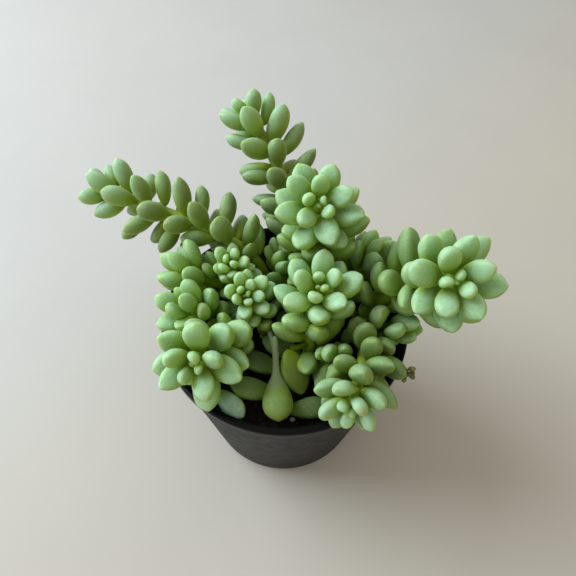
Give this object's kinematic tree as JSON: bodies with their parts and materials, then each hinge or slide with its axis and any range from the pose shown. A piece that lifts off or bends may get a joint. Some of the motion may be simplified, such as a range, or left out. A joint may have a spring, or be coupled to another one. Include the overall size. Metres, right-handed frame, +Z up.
{
  "type": "potted burro's tail plant",
  "caption": "Burro's tail succulent in a small round black nursery pot: plump pointed leaves packed round leaning stems that end in rosettes, with shed leaves on the soil.",
  "frame": {"origin": "the middle of the pot's flat base, on the surface that it stands on", "axes": "+Z up along the pot's axis; -Y is the front, where the shed leaves and the low front rosettes lie; +X is to the right of someone who faces the front"},
  "size_m": [0.097, 0.083, 0.0822],
  "materials": {
    "pot_plastic": "satin",
    "potting_soil": "matte",
    "leaf": "satin",
    "young_leaf": "satin",
    "shaded_leaf": "satin",
    "shed_leaf": "satin",
    "dried_stalk": "matte"
  },
  "bodies": {
    "root": {"pot": "pot_plastic", "soil": "potting_soil", "stem_long_left": "leaf", "stem_long_back": "leaf", "stem_back_rosette": "leaf", "stem_middle_rosette": "leaf", "stem_young_rosette": "young_leaf", "stem_front_left_rosette": "leaf", "stem_right_rosette": "leaf", "stem_front_right_rosette": "leaf", "shoot_left": "shaded_leaf", "shoot_right": "shaded_leaf", "shoot_young_left": "young_leaf", "shoot_back_left": "shaded_leaf", "shoot_middle": "shaded_leaf", "shoot_low_right": "shaded_leaf", "shoot_front": "shaded_leaf", "dried_flower_stub": "dried_stalk", "shed_leaf_middle": "shed_leaf", "shed_leaf_left": "shed_leaf", "shed_leaf_front": "shed_leaf", "shed_leaf_right": "shed_leaf"}
  },
  "joints": []
}
